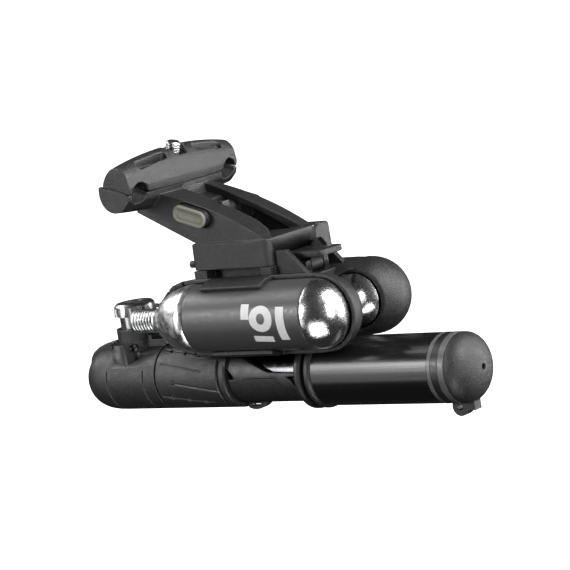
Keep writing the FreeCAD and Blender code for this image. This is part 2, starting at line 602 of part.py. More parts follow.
def chuck_stem():
    stem = rod_z(STEM_R, COLLAR_TOP, KNOB_BOTTOM, CHUCK_X, 0)
    tail = rod_z(TAIL_R, -60.0, COLLAR_TOP, CHUCK_X, 0)
    neck = rod_z(2.6, KNOB_BOTTOM, KNOB_TOP - 3.0, CHUCK_X, 0)
    bore = rod_z(1.2, -62, -38, CHUCK_X, 0)
    return stem.fuse(tail).fuse(neck).cut(bore).removeSplitter()


def chuck_knob():
    """Round knob with scooped edges, screwed down to tighten the chuck on a valve."""
    knob = Part.makeCone(KNOB_R, KNOB_R - 0.4, KNOB_TOP - 0.8 - KNOB_BOTTOM - FIT,
                         V(CHUCK_X, 0, KNOB_BOTTOM + FIT), Z_DIR)
    bevel = Part.makeCone(KNOB_R - 0.4, KNOB_R - 1.2, 0.8, V(CHUCK_X, 0, KNOB_TOP - 0.8), Z_DIR)
    knob = knob.fuse(bevel)
    scoops = 8
    for k in range(scoops):
        turn = 2 * math.pi * (k + 0.5) / scoops
        x = CHUCK_X + 8.2 * math.cos(turn)
        knob = knob.cut(rod_z(1.8, KNOB_BOTTOM - 1, KNOB_TOP - 1.2, x, 8.2 * math.sin(turn)))
    knob = knob.cut(rod_z(2.6 + FIT, KNOB_BOTTOM - 1, KNOB_TOP - 2.9, CHUCK_X, 0))
    return knob.cut(rod_z(VALVE_R, KNOB_TOP - 3.0, -38, CHUCK_X, 0)).removeSplitter()


def screw_shank():
    return rod_y(0.7, -6.0, -3.6, SCREW_X, SCREW_Z)


def head_screw():
    head = rod_y(SCREW_HEAD_R, -6.6, -6.0, SCREW_X, SCREW_Z)
    slot = box(SCREW_X - 1.5, SCREW_X + 1.5, -6.7, -6.35, SCREW_Z - 0.2, SCREW_Z + 0.2)
    return screw_shank().fuse(head).cut(slot)


def grip_sleeve():
    """Moulded grip with slanted engraved lines."""
    sleeve = pipe_x(PUMP_R, BARREL_R, HEAD_RIGHT + 0.35, GRIP_RIGHT, 0, PUMP_Z)
    return sleeve


def grip_ring():
    return turned_x([(GRIP_RIGHT + 0.3, BARREL_R), (GRIP_RING_RIGHT, BARREL_R),
                     (GRIP_RING_RIGHT, PUMP_R - 0.5), (GRIP_RING_RIGHT - 0.5, PUMP_R),
                     (GRIP_RIGHT + 0.8, PUMP_R), (GRIP_RIGHT + 0.3, PUMP_R - 0.5)], 0, PUMP_Z)


def pump_barrel():
    return pipe_x(BARREL_R, BARREL_IN_R, BARREL_LEFT, BARREL_RIGHT, 0, PUMP_Z)


def barrel_gland():
    return pipe_x(BARREL_IN_R, ROD_R + FIT, GLAND_LEFT, BARREL_RIGHT, 0, PUMP_Z)


def check_valve():
    """One-way valve disc at the inner end of the barrel."""
    disc = rod_x(5.6, BARREL_LEFT, BARREL_LEFT + 0.8, 0, PUMP_Z)
    stalk = rod_x(1.2, BARREL_LEFT - 3.4, BARREL_LEFT, 0, PUMP_Z)
    return disc.fuse(stalk).removeSplitter()


def valve_seat():
    seat = pipe_x(BARREL_IN_R, 1.6, BARREL_LEFT + 1.0, BARREL_LEFT + 4.0, 0, PUMP_Z)
    return seat


def piston():
    body = rod_x(BARREL_IN_R - 0.2, PISTON_LEFT, PISTON_RIGHT, 0, PUMP_Z)
    groove = pipe_x(BARREL_IN_R, 5.4, PISTON_LEFT + 2.0, PISTON_LEFT + 4.0, 0, PUMP_Z)
    return body.cut(groove).cut(rod_x(ROD_R, PISTON_LEFT + 2.5, PISTON_RIGHT + 1, 0, PUMP_Z))


def piston_ring():
    return pipe_x(BARREL_IN_R - FIT, 5.4, PISTON_LEFT + 2.0, PISTON_LEFT + 4.0, 0, PUMP_Z)


def piston_rod():
    return rod_x(ROD_R, PISTON_LEFT + 2.5, CAP_LEFT + 2.0, 0, PUMP_Z)


def flange_ring():
    """Guide collar at the mouth of the handle, running on the barrel."""
    collar = turned_x([(HANDLE_LEFT, BARREL_R + FIT), (TUBE_LEFT + 4.0, BARREL_R + FIT),
                       (TUBE_LEFT + 4.0, TUBE_IN_R), (TUBE_LEFT, TUBE_IN_R), (TUBE_LEFT, 11.0),
                       (51.4, 11.5), (HANDLE_LEFT + 0.7, 11.5), (HANDLE_LEFT, 10.8)], 0, PUMP_Z)
    return collar


def handle_tube():
    return pipe_x(PUMP_R, TUBE_IN_R, TUBE_LEFT, TUBE_RIGHT, 0, PUMP_Z)


def end_ring(x0, x1, r):
    return pipe_x(r, ROD_R, x0, x1, 0, PUMP_Z)


def dome_cap():
    """Rounded end cap with a vent hole and a hanging lug below."""
    rim = CAP_LEFT + 1.0
    profile = [(CAP_LEFT, 0.0), (CAP_LEFT, PUMP_R - 0.1), (rim, PUMP_R)]
    profile += dome_profile(rim, CAP_RIGHT - rim, PUMP_R)[1:]
    cap = turned_x(profile, 0, PUMP_Z)
    lug = rod_y(2.9, -1.7, 1.7, 100.4, -76.9).fuse(box(100.4, 105.8, -1.7, 1.7, -78.0, -73.5))
    lug = lug.fuse(box(97.6, 103.0, -1.7, 1.7, -76.9, PUMP_Z - PUMP_R - 0.06))
    ring_room = rod_x(PUMP_R + 0.05, 90, CAP_LEFT, 0, PUMP_Z)
    cap = cap.fuse(lug.cut(ring_room))
    cap = cap.cut(rod_y(1.1, -4, 4, 100.2, -77.0))
    cap = cap.cut(rod_x(0.95, CAP_RIGHT - 4, CAP_RIGHT + 1, 0, PUMP_Z))
    return cap.cut(rod_x(ROD_R, CAP_LEFT - 1, CAP_LEFT + 2.0, 0, PUMP_Z)).removeSplitter()


# ---- write the parts ------------------------------------------------------------------------
os.makedirs("parts", exist_ok=True)
carrier = carrier_frame()
save("arm_bracket", arm_bracket())
save("clamp_top_bar", clamp_top_bar())
save("clamp_nut", clamp_nut())
save("clamp_bolt", clamp_bolt())
save("clamp_washer", clamp_washer())
save("side_button_left", side_button())
save("side_button_right", mirrored(side_button()))
save("button_spring", button_spring())
save("carrier_frame", carrier)
save("release_lever", release_lever())
save("lever_pin", lever_pin())
save("cradle_left", cradle(8.5))
save("cradle_right", mirrored(cradle(-0.4)))
for part_name, builder in (("cartridge", cartridge_shell), ("cartridge_seal", cartridge_seal),
                           ("cartridge_label", label_band)):
    save(part_name + "_left", builder())
    save(part_name + "_right", mirrored(builder()))
save("pump_clip", pump_clip(carrier))
save("rubber_strap", rubber_strap())
save("pump_head", pump_head())
save("lock_lever", lock_lever())
save("lock_pin", lock_pin())
save("chuck_stem", chuck_stem())
save("chuck_knob", chuck_knob())
save("head_screw", head_screw())
save("grip_sleeve", grip_sleeve())
save("grip_ring", grip_ring())
save("pump_barrel", pump_barrel())
save("barrel_gland", barrel_gland())
save("valve_seat", valve_seat())
save("check_valve", check_valve())
save("piston", piston())
save("piston_ring", piston_ring())
save("piston_rod", piston_rod())
save("flange_ring", flange_ring())
save("handle_tube", handle_tube())
save("trim_ring_inner", end_ring(TUBE_RIGHT, BAND_LEFT, PUMP_R + 0.05))
save("band_ring", end_ring(BAND_LEFT, BAND_RIGHT, PUMP_R))
save("trim_ring_outer", end_ring(BAND_RIGHT, CAP_LEFT, PUMP_R + 0.05))
save("dome_cap", dome_cap())
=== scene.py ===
"""Looks of the mini pump kit: a saddle-rail clamp, its carrier, two gas cartridges and a hand pump."""
import json
import math

import bmesh
import bpy
import numpy as np
from mathutils import Matrix, Vector


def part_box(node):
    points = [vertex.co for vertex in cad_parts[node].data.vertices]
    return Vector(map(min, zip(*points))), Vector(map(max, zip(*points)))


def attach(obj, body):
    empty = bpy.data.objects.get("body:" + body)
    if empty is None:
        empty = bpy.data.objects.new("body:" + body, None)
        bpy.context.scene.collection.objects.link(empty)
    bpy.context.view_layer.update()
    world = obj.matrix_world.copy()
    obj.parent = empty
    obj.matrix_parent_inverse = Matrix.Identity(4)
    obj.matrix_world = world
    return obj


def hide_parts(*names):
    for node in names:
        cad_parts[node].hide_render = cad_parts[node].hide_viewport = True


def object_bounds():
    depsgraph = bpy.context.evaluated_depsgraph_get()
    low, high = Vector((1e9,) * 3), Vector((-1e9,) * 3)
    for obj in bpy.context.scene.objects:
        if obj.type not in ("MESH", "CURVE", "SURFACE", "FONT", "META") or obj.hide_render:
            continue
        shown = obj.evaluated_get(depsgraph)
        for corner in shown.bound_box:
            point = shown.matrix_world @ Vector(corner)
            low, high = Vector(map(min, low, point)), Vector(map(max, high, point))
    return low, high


MM = 0.001
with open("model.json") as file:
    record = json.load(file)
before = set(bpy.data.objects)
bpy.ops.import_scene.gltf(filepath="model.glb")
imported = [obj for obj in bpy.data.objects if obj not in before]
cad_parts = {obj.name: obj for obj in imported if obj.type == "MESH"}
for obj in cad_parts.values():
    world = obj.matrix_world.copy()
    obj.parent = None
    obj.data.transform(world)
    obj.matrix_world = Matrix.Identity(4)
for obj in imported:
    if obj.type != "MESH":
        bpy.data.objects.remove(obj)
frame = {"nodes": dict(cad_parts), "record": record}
cad_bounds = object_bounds()
NODES = frame["nodes"]
BODY_OF = {node: body for body, nodes in frame["record"]["behaviour"]["bodies"].items() for node in nodes}
SLOT_OF = {entry["node"]: entry["material_slot"] for entry in frame["record"]["subparts"]}


# ---- materials ------------------------------------------------------------------------------
# radius of the rounded edges in the shading, which is also the width of the painted edge highlight
EDGE_ROUND_RADIUS = 0.45 * MM
EDGE_ROUND_SAMPLES = 6
GLOSS_SWING = 0.08                 # how far the roughness of plastic strays to either side
# base colour, roughness, grain scale, grain depth, colour variation, extra brightness of the painted
# highlight on edges
PLASTICS = {
    "arm_plastic": ((0.017, 0.017, 0.0175), 0.44, 1900, 0.18 * MM, 0.5, 3.4),
    "bar_plastic": ((0.021, 0.021, 0.0215), 0.42, 1900, 0.24 * MM, 0.6, 2.6),
    "button_rubber": ((0.17, 0.17, 0.135), 0.55, 2600, 0.02 * MM, 0.1, 0.0),
    "carrier_plastic": ((0.011, 0.011, 0.0115), 0.5, 1700, 0.18 * MM, 0.5, 3.2),
    "cradle_plastic": ((0.016, 0.016, 0.0165), 0.43, 1900, 0.22 * MM, 0.55, 2.6),
    "label_film": ((0.052, 0.052, 0.053), 0.36, 4000, 0.008 * MM, 0.06, 0.0),
    "label_print": ((0.60, 0.60, 0.60), 0.5, 3000, 0.006 * MM, 0.1, 0.0),
    "strap_rubber": ((0.012, 0.012, 0.0125), 0.42, 1700, 0.06 * MM, 0.3, 2.6),
    "head_plastic": ((0.022, 0.022, 0.0225), 0.45, 2100, 0.13 * MM, 0.42, 2.4),
    "grip_plastic": ((0.024, 0.024, 0.0245), 0.46, 1700, 0.10 * MM, 0.35, 1.6),
    "cap_plastic": ((0.020, 0.020, 0.0205), 0.50, 2100, 0.15 * MM, 0.5, 1.2),
    "band_black": ((0.012, 0.012, 0.0125), 0.36, 3000, 0.01 * MM, 0.1, 0.0),
    "ring_metal": ((0.085, 0.085, 0.086), 0.34, 3000, 0.01 * MM, 0.1, 0.0),
}
# base colour, roughness, scratch scale, scratch depth
METALS = {
    "barrel_metal": ((0.10, 0.10, 0.105), 0.22, 400, 0.004 * MM),
    "cartridge_steel": ((0.74, 0.74, 0.75), 0.33, 500, 0.03 * MM),
    # painted shade: the near-black steel on the next line darkens the thread's grooves, where shade falls
    "groove_shade_paint": ((0.10, 0.10, 0.10), 0.35, 400, 0.004 * MM),
    "chuck_metal": ((0.50, 0.50, 0.51), 0.30, 400, 0.004 * MM),
    "nut_black": ((0.05, 0.05, 0.052), 0.4, 400, 0.004 * MM),
    "bolt_steel": ((0.62, 0.62, 0.63), 0.3, 400, 0.004 * MM),
    # the near-black colour of pin_steel is painted shade: the lever pin sits in shadow
    "pin_steel": ((0.06, 0.06, 0.06), 0.35, 400, 0.004 * MM),
    "spring_steel": ((0.10, 0.10, 0.10), 0.3, 400, 0.004 * MM),
    "brass": ((0.60, 0.42, 0.18), 0.3, 400, 0.004 * MM),
}


def new_material(name):
    """An empty material: itself, its node tree, its shader and the object's own coordinates."""
    mat = bpy.data.materials.new(name)
    mat.use_nodes = True
    tree = mat.node_tree
    tree.nodes.clear()
    out = tree.nodes.new("ShaderNodeOutputMaterial")
    shader = tree.nodes.new("ShaderNodeBsdfPrincipled")
    tree.links.new(shader.outputs[0], out.inputs[0])
    coords = tree.nodes.new("ShaderNodeTexCoord")
    return mat, tree, shader, coords.outputs["Object"]


def noise(tree, coords, scale, detail=3.0, roughness=0.55, stretch=None):
    """Cloudy noise from 0 to 1, drawn out along an axis where stretch is small."""
    if stretch:
        mapping = tree.nodes.new("ShaderNodeMapping")
        mapping.inputs["Scale"].default_value = stretch
        tree.links.new(coords, mapping.inputs["Vector"])
        coords = mapping.outputs[0]
    tex = tree.nodes.new("ShaderNodeTexNoise")
    tex.inputs["Scale"].default_value = scale
    tex.inputs["Detail"].default_value = detail
    tex.inputs["Roughness"].default_value = roughness
    tree.links.new(coords, tex.inputs["Vector"])
    return tex.outputs["Fac"]


def ramp(tree, value, low, high, from_low=0.3, from_high=0.7):
    """A number or colour that goes from low to high as the value goes from from_low to from_high."""
    node = tree.nodes.new("ShaderNodeMapRange")
    node.inputs["From Min"].default_value = from_low
    node.inputs["From Max"].default_value = from_high
    if isinstance(low, tuple):
        mix = tree.nodes.new("ShaderNodeMix")
        mix.data_type = "RGBA"
        mix.inputs["A"].default_value = low + (1,)
        mix.inputs["B"].default_value = high + (1,)
        tree.links.new(value, node.inputs["Value"])
        tree.links.new(node.outputs[0], mix.inputs["Factor"])
        return mix.outputs["Result"]
    node.inputs["To Min"].default_value = low
    node.inputs["To Max"].default_value = high
    tree.links.new(value, node.inputs["Value"])
    return node.outputs[0]


def bump(tree, height, shader, distance, below=None):
    """Raise the surface by up to distance where height is 1, on top of the surface direction below."""
    node = tree.nodes.new("ShaderNodeBump")
    node.inputs["Distance"].default_value = distance
    node.inputs["Strength"].default_value = 1.0
    tree.links.new(height, node.inputs["Height"])
    if below is not None:
        tree.links.new(below, node.inputs["Normal"])
    tree.links.new(node.outputs[0], shader.inputs["Normal"])


def rounded_normal(tree, radius):
    """The surface direction as it would be with softened edges."""
    rounded = tree.nodes.new("ShaderNodeBevel")
    rounded.samples = EDGE_ROUND_SAMPLES
    rounded.inputs["Radius"].default_value = radius
    return rounded.outputs[0]


def edge_highlight_mask(tree, rounded):
    """How near an edge is, from 0 on flat faces to 1 on the edge; it places the painted edge highlight."""
    geometry = tree.nodes.new("ShaderNodeNewGeometry")
    dot = tree.nodes.new("ShaderNodeVectorMath")
    dot.operation = "DOT_PRODUCT"
    tree.links.new(rounded, dot.inputs[0])
    tree.links.new(geometry.outputs["Normal"], dot.inputs[1])
    return ramp(tree, dot.outputs["Value"], 1.0, 0.0, 0.90, 0.995)


def plastic(name, base, rough, grain, depth, tint, edge_highlight):
    """Moulded plastic: fine sparked grain, slight colour variation, uneven gloss, and a painted highlight
    that lightens the edges.
    """
    mat, tree, shader, coords = new_material(name)
    speck = noise(tree, coords, grain, 3.0, 0.6)
    dark = tuple(c * (1 - tint) for c in base)
    light = tuple(c * (1 + tint) for c in base)
    colour = ramp(tree, speck, dark, light)
    rounded = None
    # painted highlight: the colour is lifted along every edge, as where rounded edges catch the light
    if edge_highlight:
        rounded = rounded_normal(tree, EDGE_ROUND_RADIUS)
        mix = tree.nodes.new("ShaderNodeMix")
        mix.data_type = "RGBA"
        mix.inputs["B"].default_value = tuple(c * (1 + edge_highlight) for c in base) + (1,)
        tree.links.new(colour, mix.inputs["A"])
        tree.links.new(edge_highlight_mask(tree, rounded), mix.inputs["Factor"])
        colour = mix.outputs["Result"]
    tree.links.new(colour, shader.inputs["Base Color"])
    broad = noise(tree, coords, grain / 5, 3.0)
    tree.links.new(ramp(tree, broad, rough - GLOSS_SWING, rough + GLOSS_SWING), shader.inputs["Roughness"])
    bump(tree, speck, shader, depth, below=rounded)
    return mat


def metal(name, base, rough, scratch, depth):
    """Bare or dyed metal with slightly uneven colour and gloss."""
    mat, tree, shader, coords = new_material(name)
    shader.inputs["Metallic"].default_value = 1.0
    fine = noise(tree, coords, scratch, 4.0)
    dark = tuple(c * 0.88 for c in base)
    tree.links.new(ramp(tree, fine, dark, base), shader.inputs["Base Color"])
    tree.links.new(ramp(tree, fine, rough * 0.7, rough * 1.4), shader.inputs["Roughness"])
    bump(tree, fine, shader, depth)
    return mat


def tube_coat(name):
    """Deep black gloss with the soft streaks that brushing leaves along the tube."""
    mat, tree, shader, coords = new_material(name)
    shader.inputs["Base Color"].default_value = (0.006, 0.006, 0.0065, 1)
    streak = noise(tree, coords, 900.0, 2.0, 0.5, (0.02, 1.0, 1.0))
    tree.links.new(ramp(tree, streak, 0.20, 0.30), shader.inputs["Roughness"])
    return mat


def mottled_steel(name):
    """Bright drawn steel, clouded with small dark marks."""
    mat, tree, shader, coords = new_material(name)
    shader.inputs["Metallic"].default_value = 1.0
    cloud = noise(tree, coords, 110.0, 3.0, 0.6)
    fleck = noise(tree, coords, 1300.0, 6.0, 0.8)
    shade = ramp(tree, cloud, (0.62, 0.62, 0.62), (0.86, 0.86, 0.86), 0.35, 0.65)
    mix = tree.nodes.new("ShaderNodeMix")
    mix.data_type = "RGBA"
    mix.inputs["B"].default_value = (0.30, 0.30, 0.30, 1)
    tree.links.new(shade, mix.inputs["A"])
    tree.links.new(ramp(tree, fleck, 0.0, 1.0, 0.52, 0.66), mix.inputs["Factor"])
    tree.links.new(mix.outputs["Result"], shader.inputs["Base Color"])
    tree.links.new(ramp(tree, fleck, 0.14, 0.34), shader.inputs["Roughness"])
    bump(tree, fleck, shader, 0.03 * MM)
    return mat


def make_materials():
    mats = {name: plastic(name, *values) for name, values in PLASTICS.items()}
    mats.update({name: metal(name, *values) for name, values in METALS.items()})
    mats["tube_gloss"] = tube_coat("tube_gloss")
    mats["dome_steel"] = mottled_steel("dome_steel")
    return mats


MATS = make_materials()


def paint_cad():
    """Give every CAD node the material of its slot in the record."""
    for node, slot_name in SLOT_OF.items():
        NODES[node].data.materials.clear()
        NODES[node].data.materials.append(MATS[slot_name])


# ---- pieces ---------------------------------------------------------------------------------
EDGE_SEGMENTS = 2
EDGE_ANGLE = math.radians(28)      # edges that turn more than this are rounded or kept sharp
FLAT_ANGLE = math.radians(1.0)     # faces that differ by less than this become one
WELD = 0.01 * MM                   # points of a CAD piece closer than this become one
GRID_WELD = 0.002 * MM             # the same for the pieces made here
NORMAL_WEIGHT = 80
SIDES = 96                         # faces round a turned piece


def new_object(name, data):
    """Put a mesh, light or camera in the scene."""
    obj = bpy.data.objects.new(name, data)
    bpy.context.scene.collection.objects.link(obj)
    return obj


def smooth_faces(mesh):
    mesh.polygons.foreach_set("use_smooth", [True] * len(mesh.polygons))


def stand_in(obj, node):
    """obj is shown in place of a CAD node: it rides the node's body and takes the material of the node's
    slot.
    """
    obj.data.materials.clear()
    obj.data.materials.append(MATS[SLOT_OF[node]])
    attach(obj, BODY_OF[node])
    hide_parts(node)
    return obj


def soften(node, width, clamp=False):
    """Show a CAD piece with its edges rounded by width millimetres, or kept sharp where width is 0."""
    mesh = NODES[node].data.copy()
    edit = bmesh.new()
    edit.from_mesh(mesh)
    bmesh.ops.remove_doubles(edit, verts=edit.verts, dist=WELD)
    bmesh.ops.dissolve_limit(edit, angle_limit=FLAT_ANGLE, verts=edit.verts, edges=edit.edges)
    edit.to_mesh(mesh)
    edit.free()
    smooth_faces(mesh)
    obj = new_object(node + "_round", mesh)
    if width:
        bevel = obj.modifiers.new("round_edges", "BEVEL")
        bevel.width = width * MM
        bevel.segments = EDGE_SEGMENTS
        bevel.limit_method = "ANGLE"
        bevel.angle_limit = EDGE_ANGLE
        bevel.use_clamp_overlap = clamp
        bevel.miter_outer = "MITER_ARC"
    else:
        mesh.set_sharp_from_angle(angle=EDGE_ANGLE)
    weighted = obj.modifiers.new("weighted_normals", "WEIGHTED_NORMAL")
    weighted.keep_sharp = not width
    weighted.weight = NORMAL_WEIGHT
    stand_in(obj, node)


def surface_grid(name, rows):
    """A tube of quads through rows of points; each row closes on itself."""
    verts = [point for row in rows for point in row]
    sides = len(rows[0])
    faces = []
    for i in range(len(rows) - 1):
        for j in range(sides):
            k = (j + 1) % sides
            faces.append((i * sides + j, i * sides + k, (i + 1) * sides + k, (i + 1) * sides + j))
    mesh = bpy.data.meshes.new(name)
    mesh.from_pydata(verts, [], faces)
    edit = bmesh.new()
    edit.from_mesh(mesh)
    bmesh.ops.remove_doubles(edit, verts=edit.verts, dist=GRID_WELD)
    bmesh.ops.recalc_face_normals(edit, faces=edit.faces)
    edit.to_mesh(mesh)
    edit.free()
    smooth_faces(mesh)
    return mesh


def ring_row(x, radius, axis_y, axis_z):
    """Points round an axis along X, at one x and one radius."""
    row = []
    for j in range(SIDES):
        angle = 2 * math.pi * j / SIDES
        row.append((x, axis_y + radius * math.cos(angle), axis_z + radius * math.sin(angle)))
    return row


def through(points, steps=8):
    """A smooth curve through points (Catmull-Rom), with steps pieces between each pair."""
    padded = [points[0]] + list(points) + [points[-1]]
    curve = []
    for i in range(1, len(padded) - 2):
        p0, p1, p2, p3 = [Vector(p) for p in padded[i - 1:i + 3]]
        for step in range(steps):
            t = step / steps
            point = 0.5 * (2 * p1 + (p2 - p0) * t + (2 * p0 - 5 * p1 + 4 * p2 - p3) * t * t
                           + (3 * p1 - p0 - 3 * p2 + p3) * t * t * t)
            curve.append((point[0], point[1]))
    curve.append(tuple(points[-1]))
    return curve


# ---- gas cartridges -------------------------------------------------------------------------
NECK_LENGTH = 10.5 * MM
THREAD_PITCH = 1.25 * MM
THREAD_CREST = 3.9 * MM
THREAD_DEPTH = 0.55 * MM
THREAD_STEPS = 150
NECK_CHAMFER = 0.7 * MM
MOUTH_R = 2.6 * MM
MOUTH_DEPTH = 0.8 * MM
SHOULDER = [(-0.6, 5.1), (1.8, 7.5), (4.9, 9.25), (8.3, 10.35)]    # x and radius, millimetres
SHOULDER_END = 12.0 * MM
SHOULDER_SHORT = 0.03 * MM         # how far the shoulder's last point lies inside the body's radius
GROOVE_START = 0.6 * MM
SEAT_STEP = 0.1 * MM
DOME_STEPS = 40
DOME_TIP = 0.001 * MM              # radius at which the dome closes
BAND_SEAT = 0.12 * MM              # how far the steel is turned down under the printed band
BAND_EDGE = [(0.0, 0.04 * MM), (0.06 * MM, 0.0)]    # rounding of the film: inward from its end, drop
BAND_STEPS = 60


def threaded_neck(tip, axis_y, axis_z):
    """Rows of points of a helical thread that fades out at both ends."""
    rows = []
    for i in range(THREAD_STEPS + 1):
        x = tip + NECK_LENGTH * i / THREAD_STEPS
        fade = min(1.0, (x - tip) / THREAD_PITCH, (tip + NECK_LENGTH - x) / THREAD_PITCH)
        chamfer = max(0.0, NECK_CHAMFER - (x - tip))
        row = []
        for j in range(SIDES):
            turn = j / SIDES
            wave = 0.5 + 0.5 * math.cos(2 * math.pi * ((x - tip) / THREAD_PITCH - turn))
            radius = THREAD_CREST - chamfer - THREAD_DEPTH * max(fade, 0.0) * wave ** 1.6
            angle = 2 * math.pi * turn
            row.append((x, axis_y + radius * math.cos(angle), axis_z + radius * math.sin(angle)))
        rows.append(row)
    return rows


def cartridge(side):
    """The steel vessel: mouth, threaded neck, long shoulder and domed end."""
    node = "cartridge_" + side
    low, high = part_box(node)
    band_low, band_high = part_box("cartridge_label_" + side)
    axis_y = (low.y + high.y) / 2
    axis_z = (low.z + high.z) / 2
    radius = (high.z - low.z) / 2
    neck_end = low.x + NECK_LENGTH
    rows = [ring_row(low.x + MOUTH_DEPTH, MOUTH_R, axis_y, axis_z), ring_row(low.x, MOUTH_R, axis_y, axis_z)]
    rows += threaded_neck(low.x, axis_y, axis_z)
    shoulder = [(neck_end, THREAD_CREST)]
    shoulder += [(x * MM, r * MM) for x, r in SHOULDER]
    shoulder.append((SHOULDER_END, radius - SHOULDER_SHORT))
    for x, r in through(shoulder)[1:]:
        rows.append(ring_row(x, r, axis_y, axis_z))
    rows.append(ring_row(band_low.x - SEAT_STEP, radius, axis_y, axis_z))
    rows.append(ring_row(band_low.x, radius - BAND_SEAT, axis_y, axis_z))
    rows.append(ring_row(band_high.x, radius - BAND_SEAT, axis_y, axis_z))
    for i in range(DOME_STEPS + 1):
        turn = math.radians(90) * i / DOME_STEPS
        x = band_high.x + (high.x - band_high.x) * math.sin(turn)
        rows.append(ring_row(x, max(radius * math.cos(turn), DOME_TIP), axis_y, axis_z))
    obj = stand_in(new_object(node + "_steel", surface_grid(node, rows)), node)
    obj.data.materials.append(MATS["groove_shade_paint"])
    obj.data.materials.append(MATS["dome_steel"])
    # faces low in the thread's grooves take the painted shade; faces past the band take the mottled dome
    # steel
    groove_r = THREAD_CREST - 0.5 * THREAD_DEPTH
    for face in obj.data.polygons:
        x, y, z = face.center
        if low.x + GROOVE_START < x < neck_end and math.hypot(y - axis_y, z - axis_z) < groove_r:
            face.material_index = 1
        elif x > band_high.x:
            face.material_index = 2


def label(side):
    """The film round the body, slightly rounded at both edges."""
    node = "cartridge_label_" + side
    low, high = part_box(node)
    axis_y = (low.y + high.y) / 2
    axis_z = (low.z + high.z) / 2
    radius = (high.z - low.z) / 2
    profile = [(low.x, radius - BAND_SEAT)]
    profile += [(low.x + inward, radius - drop) for inward, drop in BAND_EDGE]
    profile += [(low.x + (high.x - low.x) * i / BAND_STEPS, radius) for i in range(1, BAND_STEPS)]
    profile += [(high.x - inward, radius - drop) for inward, drop in reversed(BAND_EDGE)]
    profile.append((high.x, radius - BAND_SEAT))
    rows = [ring_row(x, r, axis_y, axis_z) for x, r in profile]
    stand_in(new_object(node + "_film", surface_grid(node, rows)), node)


# ---- printed marks --------------------------------------------------------------------------
OUTWARD = {"left": 1, "right": -1}
MARK_LIFT = 0.012 * MM
# centre, outer and inner half sizes, each as millimetres along X and degrees round the band
MARK_RING = ((47.2, 5.5), (4.5, 21.5), (1.6, 9.0))
RING_SIDES = 64
RING_STEPS = 4
# corners in order round the outline, as millimetres along X and degrees, then faces along and up
MARK_BARS = {
    "mark_foot": ([(43.0, -22.5), (50.4, -25.0), (50.0, -37.0), (42.6, -34.5)], 12, 8),
    "mark_bar": ([(53.2, 24.0), (56.4, 23.5), (56.4, -33.5), (53.2, -33.0)], 6, 20),
    "mark_tile": ([(39.5, 31.0), (42.6, 30.5), (42.6, 5.5), (39.5, 6.0)], 6, 20),
}


def on_band(side, x, angle):
    """A point on the printed band: x in millimetres, angle in degrees above the outward direction."""
    low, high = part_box("cartridge_label_" + side)
    radius = (high.z - low.z) / 2 + MARK_LIFT
    turn = math.radians(angle)
    y = (low.y + high.y) / 2 + OUTWARD[side] * radius * math.cos(turn)
    return (x * MM, y, (low.z + high.z) / 2 + radius * math.sin(turn))


def printed(side, name, verts, faces):
    """A printed patch that faces outward and moves with its band."""
    mesh = bpy.data.meshes.new(name)
    mesh.from_pydata(verts, [], faces)
    edit = bmesh.new()
    edit.from_mesh(mesh)
    bmesh.ops.recalc_face_normals(edit, faces=edit.faces)
    if sum(face.normal.y for face in edit.faces) * OUTWARD[side] < 0:
        bmesh.ops.reverse_faces(edit, faces=edit.faces)
    edit.to_mesh(mesh)
    edit.free()
    smooth_faces(mesh)
    mesh.materials.append(MATS["label_print"])
    obj = new_object(name + "_" + side, mesh)
    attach(obj, BODY_OF["cartridge_label_" + side])


def printed_bar(side, name, corners, along, up):
    """A bar between four corners, with along times up faces."""
    a, b, c, d = corners
    verts = []
    for i in range(up + 1):
        t = i / up
        for j in range(along + 1):
            u = j / along
            x = (a[0] * (1 - u) + b[0] * u) * (1 - t) + (d[0] * (1 - u) + c[0] * u) * t
            angle = (a[1] * (1 - u) + b[1] * u) * (1 - t) + (d[1] * (1 - u) + c[1] * u) * t
            verts.append(on_band(side, x, angle))
    row = along + 1
    faces = [(i * row + j, i * row + j + 1, (i + 1) * row + j + 1, (i + 1) * row + j)
             for i in range(up) for j in range(along)]
    printed(side, name, verts, faces)


def printed_ring(side, name, centre, outer, inner):
    """An oval ring between its outer and inner outlines."""
    verts = []
    for i in range(RING_STEPS + 1):
        t = i / RING_STEPS
        half_x = inner[0] + (outer[0] - inner[0]) * t
        half_angle = inner[1] + (outer[1] - inner[1]) * t
        for j in range(RING_SIDES):
            turn = 2 * math.pi * j / RING_SIDES
            x = centre[0] + half_x * math.cos(turn)
            verts.append(on_band(side, x, centre[1] + half_angle * math.sin(turn)))
    faces = []
    for i in range(RING_STEPS):
        for j in range(RING_SIDES):
            k = (j + 1) % RING_SIDES
            here, beyond = i * RING_SIDES, (i + 1) * RING_SIDES
            faces.append((here + j, here + k, beyond + k, beyond + j))
    printed(side, name, verts, faces)


def band_mark(side):
    """A plain mark on the band: a thick ring over a short bar, a tall bar and a small tile."""
    printed_ring(side, "mark_ring", *MARK_RING)
    for name, (corners, along, up) in MARK_BARS.items():
        printed_bar(side, name, corners, along, up)


# ---- squeeze buttons ------------------------------------------------------------------------
BUTTON_PITCH = math.radians(17.6)  # the pads follow the slope of the arm
BUTTON_HEIGHT = 5.6 * MM
BUTTON_SIDES = 64
# inward from the pad's outline and out from its highest face, millimetres
BUTTON_PAD = [(0.0, -4.2), (0.0, -0.60), (0.07, -0.32), (0.26, -0.09), (0.52, 0.0), (0.82, -0.01),
              (1.02, -0.10), (1.25, -0.34), (1.55, -0.66), (1.9, -0.86), (2.3, -0.94), (2.79, -0.97)]
PAD_SHOWN = 1.0 * MM               # the rubber reaches this far back; the rest is plastic
PLUNGER_R = 1.6 * MM
PLUNGER_DROP = 1.1 * MM
PLUNGER_START = 3.0 * MM
PLUNGER_SIDES = 32


